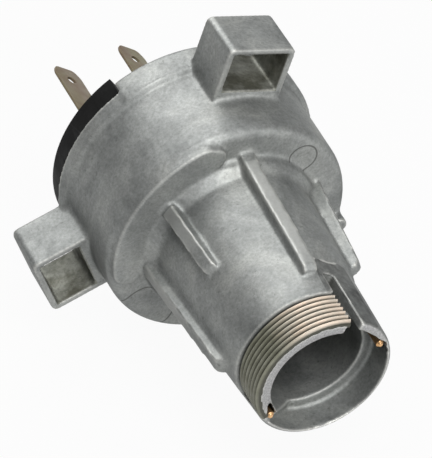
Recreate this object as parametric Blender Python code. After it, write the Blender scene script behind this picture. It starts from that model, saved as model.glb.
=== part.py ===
"""Panel ignition switch: die-cast housing, phenolic terminal plate, blades and the switching parts inside.

Frame: metres, +Z up. The barrel axis is the Y axis and the front rim of the barrel lies in the plane y = 0,
so every depth below is a distance behind that rim. Angles are seen from the front, from +X toward +Z.
"""
import bpy
import bmesh
import math
from mathutils import Matrix, Vector

MM = 0.001
FIT_GAP = 0.30            # clearance between any two pieces that touch or run on each other

# Barrel
BARREL_R = 12.2           # thread crest
BARREL_SHOULDER_R = BARREL_R + 0.6   # plain barrel just behind the thread
BARREL_BASE_R = BARREL_R + 2.1
HUB_STEPS = ((0.0, 1.9), (1.3, 1.7), (2.0, 1.1), (3.0, 0.2))   # ahead of the drum, beyond the base radius
THREAD_LENGTH = 6.8
THREAD_FROM, THREAD_TO = 67.0, 205.0   # the thread covers this side only
HOOD_R = BARREL_R + 0.1   # plain side, at the front
HOOD_TAPER = 7.5
FRONT_CHAMFER = 0.5
BORE_R = BARREL_R - 2.85
BORE_CHAMFER = 0.35
GROOVE_WIDTH = 1.5
GROOVE_DEPTH = 0.7
GROOVE_LENGTH = 23.0
GROOVE_ANGLES = (215.0, 238.0)

# Crescent pocket in the front rim with its narrow ledge up to the keyway, keyway slot and its outer relief
POCKET_R = BARREL_R - 0.75
POCKET_DEPTH = 5.1
POCKET_FROM, POCKET_TO = -152.0, 22.0
LEDGE_R = BARREL_R - 1.6
KEYWAY_ANGLE = 62.3
KEYWAY_WIDTH = 2.5
KEYWAY_LENGTH = 11.6
RELIEF_FROM, RELIEF_TO = -30.0, 67.6
RELIEF_LENGTH = 15.5
RELIEF_FRONT_R, RELIEF_REAR_R = BARREL_R, BARREL_R + 0.7

# Drum
DRUM_FRONT = 37.45
DRUM_R = 22.15
DRUM_DRAFT = 0.2          # how much wider the drum is at the rim than at its front
DRUM_WALL = 2.7
DRUM_FILLET = 1.7
WEB_THICKNESS = 2.6
WEB_REAR = DRUM_FRONT + WEB_THICKNESS
BORE_DEPTH = DRUM_FRONT - 5.7
CAVITY_R = DRUM_R - DRUM_WALL
CAVITY_DEPTH = 14.7
SEAT_Y = WEB_REAR + CAVITY_DEPTH     # the terminal plate's seat inside the rim
RIM_R = DRUM_R + 1.35
RIM_FRONT = SEAT_Y - 1.1
RIM_REAR = SEAT_Y + 1.7   # rear face of the rim where the plate's guide wall shows
RIM_EDGE = 0.5
SKIRT_WALL = 0.75
LIP_WALL = 0.7
LIP_REACH = 1.0
SKIRT_OPEN_FROM, SKIRT_OPEN_TO = 119.6, 212.6
SINK = 0.6                # how far a joined form reaches into the wall it stands on
PAST = 1.0                # how far a cutting tool reaches past the face it opens

# Arc pad and round boss on the drum's front face
PAD_INNER_R, PAD_OUTER_R = DRUM_R - 5.7, DRUM_R - 1.35
PAD_HEIGHT = 1.1
PAD_FROM, PAD_TO = 99.0, 186.0
BOSS_R = 1.5
BOSS_RING_R = DRUM_R - 1.3
BOSS_ANGLE = -15.5
BOSS_HEIGHT = 1.85

# Ribs: angle, distance from the drum to the front end, crest above the shoulder, crest above the base, thickness
RIBS = (
    (137.0, 16.15, 2.2, 2.45, 2.3),
    (184.5, 27.45, 1.7, 2.2, 2.9),
    (79.5, 26.3, 2.0, 2.9, 2.3),
    (14.0, 20.25, 2.65, 3.15, 2.3),
    (252.0, 20.25, 2.65, 3.15, 2.3),
)
RIB_ROOT_SHARE, RIB_CREST_SHARE = 1.35, 0.85   # draft of the ribs' sides, as shares of the thickness

# Square lugs on the drum's side
LUG_ANGLES = (71.5, 196.4)
LUG_WIDTH = 12.8
LUG_FRONT = SEAT_Y - 9.05
LUG_LENGTH = 9.65
LUG_REACH = RIM_R + 8.7
LUG_WALL = 1.15
LUG_CORNER = 1.1
SOCKET_CORNER = 0.4
SOCKET_INNER_R = RIM_R + 0.1

# Terminal plate and blades
PLATE_THICKNESS = 2.95
PLATE_FRONT = SEAT_Y + FIT_GAP
PLATE_REAR = PLATE_FRONT + PLATE_THICKNESS
PLATE_R = RIM_R - SKIRT_WALL - FIT_GAP
PLATE_EDGE = 0.4
GUIDE_REAR = SEAT_Y + 6.35           # rear edge of the plate's raised guide wall
GUIDE_WALL = 2.25
GUIDE_MARGIN = 0.8        # degrees between the guide wall and the skirt's ends
PLATE_KEY_ANGLE = 300.0
PLATE_KEY_WIDTH = 3.2
KEY_DEPTH = 1.0
BLADE_WIDTH = 4.8
BLADE_THICKNESS = 0.8
BLADE_FOOT = PLATE_REAR + FIT_GAP
BLADE_TIP = SEAT_Y + 23.0
BLADE_TURN = 137.6        # direction of the blades' width
BLADE_POINT = BLADE_WIDTH / 2        # length of the chamfered point
BLADE_TIP_WIDTH = BLADE_WIDTH / 4
BLADE_HOLE_R = 0.85
BLADE_HOLE_BACK = 4.4     # from the tip to the middle of the hole
FOOT_REACH = 5.6
# distance from the axis as a share of the plate's radius, angle, and the side the foot points to
BLADES = ((0.732, 145.0, -1), (0.459, 99.7, 1), (0.535, 215.0, -1), (0.525, 282.0, 1), (0.535, 344.0, -1))
RIVET_OFFSET = 3.3
RIVET_SHANK_R = 1.3
RIVET_HEAD_R = 2.1
RIVET_HEAD = 1.0
RIVET_UPSET = 0.8

# Rotor and what turns with it
SHAFT_R = 4.3
SHAFT_FRONT = BORE_DEPTH - 6.0
DRIVE_SLOT_WIDTH = 2.6
DRIVE_SLOT_DEPTH = 6.0
WASHER_FRONT = WEB_REAR + FIT_GAP
WASHER_THICKNESS = 0.8
WASHER_REAR = WASHER_FRONT + WASHER_THICKNESS
HUB_R = 6.0
DISC_R = CAVITY_R - 1.7
DISC_FRONT = WEB_REAR + 0.265 * CAVITY_DEPTH
DISC_REAR = WEB_REAR + 0.575 * CAVITY_DEPTH
DISC_MIDDLE = (DISC_FRONT + DISC_REAR) / 2
FINGER_R = 0.64 * CAVITY_R
FINGER_WIDTH = 2.4
FINGER_ANGLE = 300.0
POST_R = 3.6
POST_FLAT = 2.7
POST_END = PLATE_FRONT - FIT_GAP
PILOT_R = 1.6
PILOT_LENGTH = 1.6
CONTACT_PLATE_R = CAVITY_R - 2.1
CONTACT_PLATE_THICKNESS = 0.8
BUMP_R = 1.5
BUMP_HEIGHT = 0.7
CONTACT_PLATE_FRONT = POST_END - RIVET_HEAD - FIT_GAP - BUMP_HEIGHT - CONTACT_PLATE_THICKNESS
SPRING_RING_R = 0.61 * CAVITY_R
SPRING_ANGLES = (60.0, 180.0, 300.0)
SPRING_COIL_R = 1.55
SPRING_WIRE_R = 0.25
SPRING_TURNS = 4.5
POCKET_FLOOR = 2.0
BALL_R = 1.45
BALL_RING_R = CAVITY_R - FIT_GAP - BALL_R   # the ball's tip stands one clearance inside the drum's wall
BALL_HOLE_INNER_R = BALL_RING_R - 6.0
BALL_ANGLE = 120.0
NOTCH_ANGLES = (80.0, 120.0, 170.0)
NOTCH_R = 1.7
NOTCH_DEPTH = 0.35
NOTCH_LENGTH = 4.0
DETENT_WIRE_R = 0.2
DETENT_COIL_R = 1.0
DETENT_TURNS = 6
END_PLAY = 0.02           # keeps a spring's flat end coil inside its length

# Return spring, wound around the rotor's hub, and the housing's stop posts
RETURN_WIRE_R = 0.4
RETURN_TURNS = 2
RETURN_ANCHOR_R, RETURN_ANCHOR_ANGLE = 0.782 * CAVITY_R, 160.0
RETURN_LEG_R, RETURN_LEG_ANGLE = 0.690 * CAVITY_R, 216.0
ANCHOR_POST_R, ANCHOR_RING_R = 1.1, 0.721 * CAVITY_R
STOP_R = 0.711 * CAVITY_R
STOP_WIDTH = 3.0
STOP_REACH = DISC_FRONT - WEB_REAR - 0.9
STOP_SPARE = 1.5          # degrees of free travel past each end position
ACCESSORY_TURN, START_TURN = 40.0, 75.0

# Brass pins in the front rim
PIN_R = 0.7
PIN_RING_R = POCKET_R - PIN_R
PIN_FRONT = 0.3
PIN_LENGTH = 12.4
PIN_ANGLES = (209.6, 16.5)

SEGMENTS = 84


def polar(radius, angle, y=0.0):
    """Point on the circle of this radius, in millimetres."""
    a = math.radians(angle)
    return Vector((radius * math.cos(a), y, radius * math.sin(a)))


def material(name, rgb, metallic, roughness):
    mat = bpy.data.materials.new(name)
    mat.use_nodes = True
    shader = mat.node_tree.nodes["Principled BSDF"]
    shader.inputs["Base Color"].default_value = (*rgb, 1.0)
    shader.inputs["Metallic"].default_value = metallic
    shader.inputs["Roughness"].default_value = roughness
    mat.diffuse_color = (*rgb, 1.0)
    return mat


def finish_mesh(bm, name, mat=None):
    bmesh.ops.remove_doubles(bm, verts=bm.verts, dist=1e-7)
    bmesh.ops.recalc_face_normals(bm, faces=bm.faces)
    mesh = bpy.data.meshes.new(name)
    bm.to_mesh(mesh)
    bm.free()
    obj = bpy.data.objects.new(name, mesh)
    bpy.context.scene.collection.objects.link(obj)
    if mat:
        mesh.materials.append(mat)
    return obj


def revolved(profile, name, segments=SEGMENTS, mat=None):
    """Closed ring or solid turned about the Y axis from (depth, radius) points, in millimetres."""
    bm = bmesh.new()
    rings = []
    for depth, radius in profile:
        if radius < 1e-6:
            rings.append([bm.verts.new((0.0, depth * MM, 0.0))])
            continue
        rings.append([bm.verts.new(polar(radius, 360.0 * i / segments, depth) * MM) for i in range(segments)])
    count = len(rings)
    for k in range(count):
        low, high = rings[k], rings[(k + 1) % count]
        if len(low) == 1 and len(high) == 1:
            continue
        for i in range(segments):
            j = (i + 1) % segments
            if len(low) == 1:
                bm.faces.new((low[0], high[i], high[j]))
            elif len(high) == 1:
                bm.faces.new((low[i], high[0], low[j]))
            else:
                bm.faces.new((low[i], high[i], high[j], low[j]))
    return finish_mesh(bm, name, mat)


def loft(near_outline, far_outline, name, mat=None):
    """Solid between two flat outlines with as many points each, in millimetres."""
    bm = bmesh.new()
    near = [bm.verts.new(Vector(p) * MM) for p in near_outline]
    far = [bm.verts.new(Vector(p) * MM) for p in far_outline]
    bm.faces.new(near)
    bm.faces.new(list(reversed(far)))
    for i in range(len(near)):
        j = (i + 1) % len(near)
        bm.faces.new((near[j], near[i], far[i], far[j]))
    return finish_mesh(bm, name, mat)


def prism(outline, vector, name, mat=None):
    """Solid from a flat outline of points in millimetres, pushed along a vector."""
    return loft(outline, [Vector(p) + Vector(vector) for p in outline], name, mat)


def radial_box(angle, y0, y1, r0, r1, width, name):
    """Box whose length lies along the radius at this angle."""
    out, side = polar(1.0, angle), polar(1.0, angle + 90.0)
    corners = [out * r + side * w for r, w in
               ((r0, -width / 2), (r1, -width / 2), (r1, width / 2), (r0, width / 2))]
    return prism([c + Vector((0, y0, 0)) for c in corners], (0, y1 - y0, 0), name)


def rounded_box(angle, y0, y1, r0, r1, width, corner, name, steps=4):
    """Box along the radius with all four long edges rounded."""
    out, side = polar(1.0, angle), polar(1.0, angle + 90.0)
    points = []
    for r, w, start in ((r1, width / 2, 0), (r0, width / 2, 90), (r0, -width / 2, 180), (r1, -width / 2, 270)):
        cr = r - corner if r == r1 else r + corner
        cw = w - corner if w > 0 else w + corner
        for k in range(steps + 1):
            a = math.radians(start + 90.0 * k / steps)
            points.append(out * (cr + corner * math.cos(a)) + side * (cw + corner * math.sin(a)))
    return prism([p + Vector((0, y0, 0)) for p in points], (0, y1 - y0, 0), name)


def cylinder(centre, axis, radius, length, name, segments=24, mat=None):
    """Cylinder from its first end's centre along an axis, in millimetres."""
    axis = Vector(axis).normalized()
    u = axis.orthogonal().normalized()
    v = axis.cross(u)
    ring = [Vector(centre) + (u * math.cos(t) + v * math.sin(t)) * radius
            for t in (2 * math.pi * i / segments for i in range(segments))]
    return prism(ring, axis * length, name, mat)


def sector(r0, r1, a0, a1, y0, y1, name, steps=24, round_ends=False):
    """Arc-shaped block between two radii and two angles."""
    angles = [a0 + (a1 - a0) * i / steps for i in range(steps + 1)]
    outline = [polar(r1, a) for a in angles]
    mid, half = (r0 + r1) / 2, (r1 - r0) / 2
    if round_ends:
        outline += round_end(mid, half, a1, 0.0, 180.0)
    outline += [polar(r0, a) for a in reversed(angles)]
    if round_ends:
        outline += round_end(mid, half, a0, 180.0, 360.0)
    return prism([p + Vector((0, y0, 0)) for p in outline], (0, y1 - y0, 0), name)


def round_end(mid, half, angle, start, stop, steps=8):
    """Points of a half circle closing an arc block, without its two end points."""
    centre, out, side = polar(mid, angle), polar(1.0, angle), polar(1.0, angle + 90.0)
    turns = [math.radians(start + (stop - start) * k / steps) for k in range(1, steps)]
    return [centre + (out * math.cos(t) + side * math.sin(t)) * half for t in turns]


def combine(target, tool, operation):
    """Exact Boolean of two objects, kept in the first; the second is removed."""
    tool.hide_render = True
    tool.display_type = 'WIRE'
    mod = target.modifiers.new("combine", 'BOOLEAN')
    mod.operation = operation
    mod.solver = 'EXACT'
    mod.object = tool
    graph = bpy.context.evaluated_depsgraph_get()
    mesh = bpy.data.meshes.new_from_object(target.evaluated_get(graph))
    target.modifiers.clear()
    old = target.data
    target.data = mesh
    mesh.name = target.name
    bpy.data.meshes.remove(old)
    bpy.data.objects.remove(tool)
    return target


def cut(target, tool):
    return combine(target, tool, 'DIFFERENCE')


def join(target, tool):
    return combine(target, tool, 'UNION')


def clean(obj, mat, smooth_angle=32.0):
    """Merge the slivers that the Booleans leave, set the material and the smooth shading."""
    bm = bmesh.new()
    bm.from_mesh(obj.data)
    bmesh.ops.remove_doubles(bm, verts=bm.verts, dist=2e-6)
    bmesh.ops.dissolve_degenerate(bm, edges=bm.edges, dist=1e-6)
    bmesh.ops.triangulate(bm, faces=[f for f in bm.faces if len(f.verts) > 4])
    bmesh.ops.recalc_face_normals(bm, faces=bm.faces)
    limit = math.radians(smooth_angle)
    for edge in bm.edges:
        edge.smooth = len(edge.link_faces) == 2 and edge.calc_face_angle(0.0) < limit
    for face in bm.faces:
        face.smooth = True
        face.material_index = 0
    bm.to_mesh(obj.data)
    bm.free()
    obj.data.materials.clear()
    obj.data.materials.append(mat)
    return obj


def coil(points, wire_r, name, mat, sides=6):
    """Round wire along a path of points in millimetres, closed at both ends."""
    bm = bmesh.new()
    rings = []
    normal = None
    for i, p in enumerate(points):
        ahead = points[min(i + 1, len(points) - 1)]
        behind = points[max(i - 1, 0)]
        along = (ahead - behind).normalized()
        normal = along.orthogonal() if normal is None else normal - along * normal.dot(along)
        normal.normalize()
        other = along.cross(normal)
        turn = [2 * math.pi * k / sides for k in range(sides)]
        rings.append([bm.verts.new((p + (normal * math.cos(t) + other * math.sin(t)) * wire_r) * MM)
                      for t in turn])
    for low, high in zip(rings, rings[1:]):
        for k in range(sides):
            m = (k + 1) % sides
            bm.faces.new((low[k], low[m], high[m], high[k]))
    bm.faces.new(list(reversed(rings[0])))
    bm.faces.new(rings[-1])
    for face in bm.faces:
        face.smooth = True
    return finish_mesh(bm, name, mat)


def helix(start, axis, length, radius, turns, steps=12):
    """Points of a compression spring whose end coils lie flat."""
    axis = Vector(axis).normalized()
    u = axis.orthogonal().normalized()
    v = axis.cross(u)
    count = int(turns * steps)
    points = []
    for i in range(count + 1):
        t = 2 * math.pi * i / steps
        share = (i - steps * 0.7) / (count - steps * 1.4)
        height = length * min(max(share, 0.0), 1.0)
        flat = 0.02 * i / count
        points.append(Vector(start) + axis * (height + flat) + (u * math.cos(t) + v * math.sin(t)) * radius)
    return points


def blade_place(spec):
    """Centre of a blade, its width direction, its thickness direction and its rivet's centre."""
    share, angle, side = spec
    centre = polar(share * PLATE_R, angle)
    width = polar(1.0, BLADE_TURN)
    normal = polar(1.0, BLADE_TURN + 90.0) * side
    return centre, width, normal, centre + normal * RIVET_OFFSET


def housing_profile():
    """Half section of the casting, from the front rim round the inside and back along the outside."""
    skirt_inner = RIM_R - SKIRT_WALL
    lip_front = PLATE_REAR + FIT_GAP
    lip_rear = lip_front + LIP_WALL
    quarter = [math.pi / 2 * k / 4 for k in range(5)]
    fillet = [(DRUM_FRONT + DRUM_FILLET * (1 - math.sin(t)), DRUM_R - DRUM_FILLET * (1 - math.cos(t)))
              for t in quarter]
    inside = [(0.0, BORE_R + BORE_CHAMFER), (BORE_CHAMFER, BORE_R), (BORE_DEPTH, BORE_R),
              (BORE_DEPTH, SHAFT_R + FIT_GAP), (WEB_REAR, SHAFT_R + FIT_GAP), (WEB_REAR, CAVITY_R),
              (SEAT_Y, CAVITY_R), (SEAT_Y, skirt_inner), (lip_front, skirt_inner),
              (lip_front, skirt_inner - LIP_REACH), (lip_rear, skirt_inner - LIP_REACH)]
    outside = [(lip_rear, RIM_R - RIM_EDGE), (lip_rear - RIM_EDGE, RIM_R), (RIM_FRONT + RIM_EDGE, RIM_R),
               (RIM_FRONT, RIM_R - RIM_EDGE), (RIM_FRONT, DRUM_R + DRUM_DRAFT)] + fillet
    barrel = [(DRUM_FRONT - ahead, BARREL_BASE_R + beyond) for ahead, beyond in HUB_STEPS]
    front = [(HOOD_TAPER, BARREL_SHOULDER_R), (FRONT_CHAMFER, HOOD_R), (0.0, HOOD_R - FRONT_CHAMFER)]
    return inside + outside + barrel + front


def rib(angle, length, above_shoulder, above_base, thickness, index):
    """Tapered fin from the barrel to the drum's face, its front end sloped."""
    out, side = polar(1.0, angle), polar(1.0, angle + 90.0)
    root, front, rear = BORE_R + 1.5, DRUM_FRONT - length, DRUM_FRONT + SINK
    crest_front = BARREL_SHOULDER_R + above_shoulder
    crest_rear = BARREL_BASE_R + above_base
    section = [(front, root), (front, BARREL_SHOULDER_R), (front + 0.5, crest_front - 0.7),
               (front + 1.4, crest_front), (rear, crest_rear), (rear, root)]
    bm = bmesh.new()
    sheets = []
    for sign in (-1, 1):
        sheet = []
        for y, r in section:
            half = thickness / 2 * (RIB_ROOT_SHARE if r < BARREL_BASE_R - 0.2 else RIB_CREST_SHARE)
            sheet.append(bm.verts.new((out * r + side * half * sign + Vector((0, y, 0))) * MM))
        sheets.append(sheet)
    bm.faces.new(sheets[0])
    bm.faces.new(list(reversed(sheets[1])))
    for i in range(len(section)):
        j = (i + 1) % len(section)
        bm.faces.new((sheets[0][j], sheets[0][i], sheets[1][i], sheets[1][j]))
    bmesh.ops.triangulate(bm, faces=bm.faces)
    return finish_mesh(bm, "rib_%d" % index)


def relief(steps=24):
    """Tool that takes the barrel down on the keyway's side, deepest at the front."""
    angles = [RELIEF_FROM + (RELIEF_TO - RELIEF_FROM) * i / steps for i in range(steps + 1)]
    outer = [polar(BARREL_BASE_R + PAST, a) for a in angles]
    ends = []
    for y, r in ((-PAST, RELIEF_FRONT_R), (RELIEF_LENGTH, RELIEF_REAR_R)):
        ends.append([p + Vector((0, y, 0)) for p in outer + [polar(r, a) for a in reversed(angles)]])
    return loft(ends[0], ends[1], "relief")


def cut_front_end(housing):
    """Pocket with its ledge, thread seat, keyway slot with its relief, bore grooves and pin holes."""
    inner = BORE_R - PAST
    cut(housing, sector(inner, POCKET_R, POCKET_FROM, POCKET_TO, -PAST, POCKET_DEPTH, "pocket", 40))
    cut(housing, sector(inner, LEDGE_R, POCKET_TO - 1.0, KEYWAY_ANGLE, -PAST, POCKET_DEPTH, "ledge", 12))
    cut(housing, sector(BARREL_R, BARREL_BASE_R, THREAD_FROM, THREAD_TO, -PAST, THREAD_LENGTH, "thread_seat"))
    cut(housing, relief())
    cut(housing, radial_box(KEYWAY_ANGLE, -PAST, KEYWAY_LENGTH, inner, BARREL_BASE_R + 4.0, KEYWAY_WIDTH,
                            "keyway"))
    for angle in GROOVE_ANGLES:
        cut(housing, radial_box(angle, POCKET_DEPTH - PAST, GROOVE_LENGTH, inner, BORE_R + GROOVE_DEPTH,
                                GROOVE_WIDTH, "groove"))
    for angle in PIN_ANGLES:
        depth = PIN_FRONT + PIN_LENGTH + FIT_GAP
        cut(housing, cylinder(polar(PIN_RING_R, angle, -PAST), (0, 1, 0), PIN_R + FIT_GAP, depth + PAST, "hole"))


def cut_rear_end(housing):
    """Open part of the skirt, the plate's key notch and the detent notches in the drum's wall."""
    lip_front, seat_r = PLATE_REAR + FIT_GAP, RIM_R - SKIRT_WALL
    cut(housing, revolved([(SEAT_Y, 0.0), (SEAT_Y, seat_r), (lip_front, seat_r), (lip_front, 0.0)], "seat"))
    cut(housing, sector(SHAFT_R, RIM_R + PAST, SKIRT_OPEN_FROM, SKIRT_OPEN_TO, RIM_REAR,
                        lip_front + LIP_WALL + PAST, "open"))
    cut(housing, radial_box(PLATE_KEY_ANGLE, SEAT_Y - KEY_DEPTH, SEAT_Y + SINK, CAVITY_R - PAST,
                            PLATE_R - SINK + FIT_GAP, PLATE_KEY_WIDTH + 2 * FIT_GAP, "key_notch"))
    for angle in NOTCH_ANGLES:
        foot = polar(CAVITY_R + NOTCH_DEPTH - NOTCH_R, angle, DISC_MIDDLE - NOTCH_LENGTH / 2)
        cut(housing, cylinder(foot, (0, 1, 0), NOTCH_R, NOTCH_LENGTH, "notch"))


def add_outside(housing):
    """Ribs, arc pad, boss and the two square lugs with their open sockets."""
    for index, spec in enumerate(RIBS):
        join(housing, rib(*spec, index))
    join(housing, sector(PAD_INNER_R, PAD_OUTER_R, PAD_FROM, PAD_TO, DRUM_FRONT - PAD_HEIGHT,
                         DRUM_FRONT + SINK, "pad", round_ends=True))
    join(housing, cylinder(polar(BOSS_RING_R, BOSS_ANGLE, DRUM_FRONT - BOSS_HEIGHT), (0, 1, 0), BOSS_R,
                           BOSS_HEIGHT + DRUM_FILLET, "boss", 16))
    for angle in LUG_ANGLES:
        join(housing, rounded_box(angle, LUG_FRONT, LUG_FRONT + LUG_LENGTH, CAVITY_R + PAST,
                                  LUG_REACH, LUG_WIDTH, LUG_CORNER, "lug"))
    for angle in LUG_ANGLES:
        cut(housing, rounded_box(angle, LUG_FRONT - PAST, LUG_FRONT + LUG_LENGTH + PAST,
                                 SOCKET_INNER_R, LUG_REACH - LUG_WALL,
                                 LUG_WIDTH - 2 * LUG_WALL, SOCKET_CORNER, "socket", steps=2))


def add_inside(housing):
    """Stop posts and the return spring's anchor post on the web's rear face."""
    for angle in stop_angles():
        join(housing, radial_box(angle, WEB_REAR - SINK, WEB_REAR + STOP_REACH, STOP_R,
                                 CAVITY_R + PAST, STOP_WIDTH, "stop"))
    beside = math.degrees((ANCHOR_POST_R + RETURN_WIRE_R + FIT_GAP) / ANCHOR_RING_R)
    join(housing, cylinder(polar(ANCHOR_RING_R, RETURN_ANCHOR_ANGLE - beside, WEB_REAR - SINK),
                           (0, 1, 0), ANCHOR_POST_R, STOP_REACH + SINK, "anchor"))


def make_housing(mat):
    housing = revolved(housing_profile(), "housing")
    add_outside(housing)
    add_inside(housing)
    cut_front_end(housing)
    cut_rear_end(housing)
    return clean(housing, mat)


def stop_angles():
    """Where the stop posts stand, so that the finger has the whole travel plus its clearance."""
    contact_r = (STOP_R + DISC_R) / 2
    half = math.degrees((FINGER_WIDTH / 2 + STOP_WIDTH / 2 + FIT_GAP) / contact_r) + STOP_SPARE
    return (FINGER_ANGLE + ACCESSORY_TURN + half, FINGER_ANGLE - START_TURN - half)


def make_plate(mat):
    """Phenolic disc with the guide wall, the key, the rivet holes and the rotor's blind pilot hole."""
    r, y0, y1 = PLATE_R, PLATE_FRONT, PLATE_REAR
    plate = revolved([(y0, 0.0), (y0, r - PLATE_EDGE), (y0 + PLATE_EDGE, r), (y1 - PLATE_EDGE, r),
                      (y1, r - PLATE_EDGE), (y1, 0.0)], "terminal_plate", 72)
    join(plate, sector(r - GUIDE_WALL, r - 0.02, SKIRT_OPEN_FROM + GUIDE_MARGIN, SKIRT_OPEN_TO - GUIDE_MARGIN,
                       y1 - PLATE_EDGE - SINK, GUIDE_REAR, "guide"))
    join(plate, radial_box(PLATE_KEY_ANGLE, SEAT_Y - KEY_DEPTH + FIT_GAP, y0 + SINK,
                           CAVITY_R - PAST + FIT_GAP, r - SINK, PLATE_KEY_WIDTH, "key"))
    cut(plate, cylinder((0, y0 - PAST, 0), (0, 1, 0), PILOT_R + FIT_GAP, PILOT_LENGTH + PAST, "pilot"))
    for spec in BLADES:
        rivet = blade_place(spec)[3]
        cut(plate, cylinder(rivet + Vector((0, y0 - PAST, 0)), (0, 1, 0), RIVET_SHANK_R + FIT_GAP,
                            PLATE_THICKNESS + 2 * PAST, "rivet_hole"))
    return clean(plate, mat)


def make_blade(index, spec, mat):
    """Bent blade terminal: a foot on the plate's rear face and a chamfered, pierced tongue."""
    centre, width, normal, rivet = blade_place(spec)
    foot, t, tip, half = BLADE_FOOT, BLADE_THICKNESS, BLADE_TIP, BLADE_WIDTH / 2
    bend = [(-t / 2, foot + 0.3), (-t / 2 + 0.3, foot), (FOOT_REACH, foot), (FOOT_REACH, foot + t),
            (t / 2 + 0.5, foot + t), (t / 2, foot + t + 0.5), (t / 2, tip), (-t / 2, tip)]
    blade = prism([centre + normal * n - width * half + Vector((0, y, 0)) for n, y in bend],
                  width * BLADE_WIDTH, "terminal_%d" % index)
    for side in (-1, 1):
        flat, edge, beyond = side * BLADE_TIP_WIDTH / 2, side * half, side * (half + PAST)
        corner = [(flat, tip + PAST), (flat, tip), (edge, tip - BLADE_POINT), (beyond, tip - BLADE_POINT),
                  (beyond, tip + PAST)]
        cut(blade, prism([centre + width * a + Vector((0, y, 0)) - normal * 2 * t for a, y in corner],
                         normal * 4 * t, "corner"))
    cut(blade, cylinder(rivet + Vector((0, foot - PAST, 0)), (0, 1, 0), RIVET_SHANK_R + FIT_GAP,
                        t + 2 * PAST, "hole"))
    cut(blade, cylinder(centre + Vector((0, tip - BLADE_HOLE_BACK, 0)) - normal * 2 * t, normal,
                        BLADE_HOLE_R, 4 * t, "eye", 16))
    return clean(blade, mat, 25.0)


def make_rivet(index, spec, mat):
    """Fixed contact: domed head inside the drum, shank through plate and foot, upset end outside."""
    rivet = blade_place(spec)[3]
    y0 = POST_END
    y1 = BLADE_FOOT + BLADE_THICKNESS + FIT_GAP
    head = y0 - RIVET_HEAD
    end = y1 + RIVET_UPSET
    profile = [(head, 0.0), (head, RIVET_HEAD_R - 0.5), (head + 0.4, RIVET_HEAD_R), (y0, RIVET_HEAD_R),
               (y0, RIVET_SHANK_R), (y1, RIVET_SHANK_R), (y1, RIVET_HEAD_R - 0.1), (end - 0.3, RIVET_HEAD_R - 0.3),
               (end, RIVET_HEAD_R - 1.2), (end, 0.0)]
    obj = revolved(profile, "contact_rivet_%d" % index, 18)
    for vert in obj.data.vertices:
        vert.co += rivet * MM
    return clean(obj, mat, 25.0)


def make_rotor(mat):
    """Driver shaft, hub, disc with spring pockets, finger, flatted post and pilot in one piece."""
    hub_front = WASHER_REAR + FIT_GAP
    edge = 0.4
    rotor = revolved([(SHAFT_FRONT, 0.0), (SHAFT_FRONT, SHAFT_R - edge), (SHAFT_FRONT + edge, SHAFT_R),
                      (hub_front, SHAFT_R), (hub_front, HUB_R), (DISC_FRONT, HUB_R),
                      (DISC_FRONT, DISC_R - edge), (DISC_FRONT + edge, DISC_R), (DISC_REAR - edge, DISC_R),
                      (DISC_REAR, DISC_R - edge), (DISC_REAR, POST_R), (POST_END, POST_R),
                      (POST_END, PILOT_R), (POST_END + PILOT_LENGTH, PILOT_R), (POST_END + PILOT_LENGTH, 0.0)],
                     "rotor", 72)
    join(rotor, radial_box(FINGER_ANGLE, WEB_REAR + 4 * FIT_GAP, DISC_FRONT + SINK, FINGER_R, DISC_R - SINK,
                           FINGER_WIDTH, "finger"))
    for side in (0.0, 180.0):
        cut(rotor, radial_box(side, DISC_REAR, POST_END, POST_FLAT, POST_R + PAST, 2 * (POST_R + PAST), "flat"))
    cut(rotor, radial_box(0.0, SHAFT_FRONT - PAST, SHAFT_FRONT + DRIVE_SLOT_DEPTH, -SHAFT_R - PAST,
                          SHAFT_R + PAST, DRIVE_SLOT_WIDTH, "drive_slot"))
    for angle in SPRING_ANGLES:
        cut(rotor, cylinder(polar(SPRING_RING_R, angle, DISC_REAR - POCKET_FLOOR), (0, 1, 0),
                            SPRING_COIL_R + SPRING_WIRE_R + FIT_GAP, POCKET_FLOOR + PAST, "pocket"))
    cut(rotor, cylinder(polar(BALL_HOLE_INNER_R, BALL_ANGLE, DISC_MIDDLE), polar(1.0, BALL_ANGLE),
                        BALL_R + FIT_GAP, DISC_R + PAST - BALL_HOLE_INNER_R, "ball_hole"))
    return clean(rotor, mat)


def make_contact_plate(mat):
    """Brass disc with three raised contacts, turned by the flats of the rotor's post."""
    y0 = CONTACT_PLATE_FRONT
    y1 = y0 + CONTACT_PLATE_THICKNESS
    plate = revolved([(y0, 0.0), (y0, CONTACT_PLATE_R), (y1, CONTACT_PLATE_R), (y1, 0.0)], "contact_plate", 64)
    for angle in SPRING_ANGLES:
        join(plate, cylinder(polar(SPRING_RING_R, angle, y1 - 0.2), (0, 1, 0), BUMP_R, BUMP_HEIGHT + 0.2,
                             "bump", 20))
    hole = cylinder((0, y0 - PAST, 0), (0, 1, 0), POST_R + FIT_GAP, 4 * PAST, "hole", 32)
    for side in (0.0, 180.0):
        cut(hole, radial_box(side, y0 - 2 * PAST, y0 + 4 * PAST, POST_FLAT + FIT_GAP, POST_R + 2 * PAST,
                             2 * (POST_R + 2 * PAST), "flat"))
    cut(plate, hole)
    return clean(plate, mat, 25.0)


def make_contact_spring(index, angle, mat):
    start = polar(SPRING_RING_R, angle, DISC_REAR - POCKET_FLOOR + FIT_GAP + SPRING_WIRE_R)
    length = CONTACT_PLATE_FRONT - FIT_GAP - SPRING_WIRE_R - start.y - END_PLAY
    return coil(helix(start, (0, 1, 0), length, SPRING_COIL_R, SPRING_TURNS), SPRING_WIRE_R,
                "contact_spring_%d" % index, mat)


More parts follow.
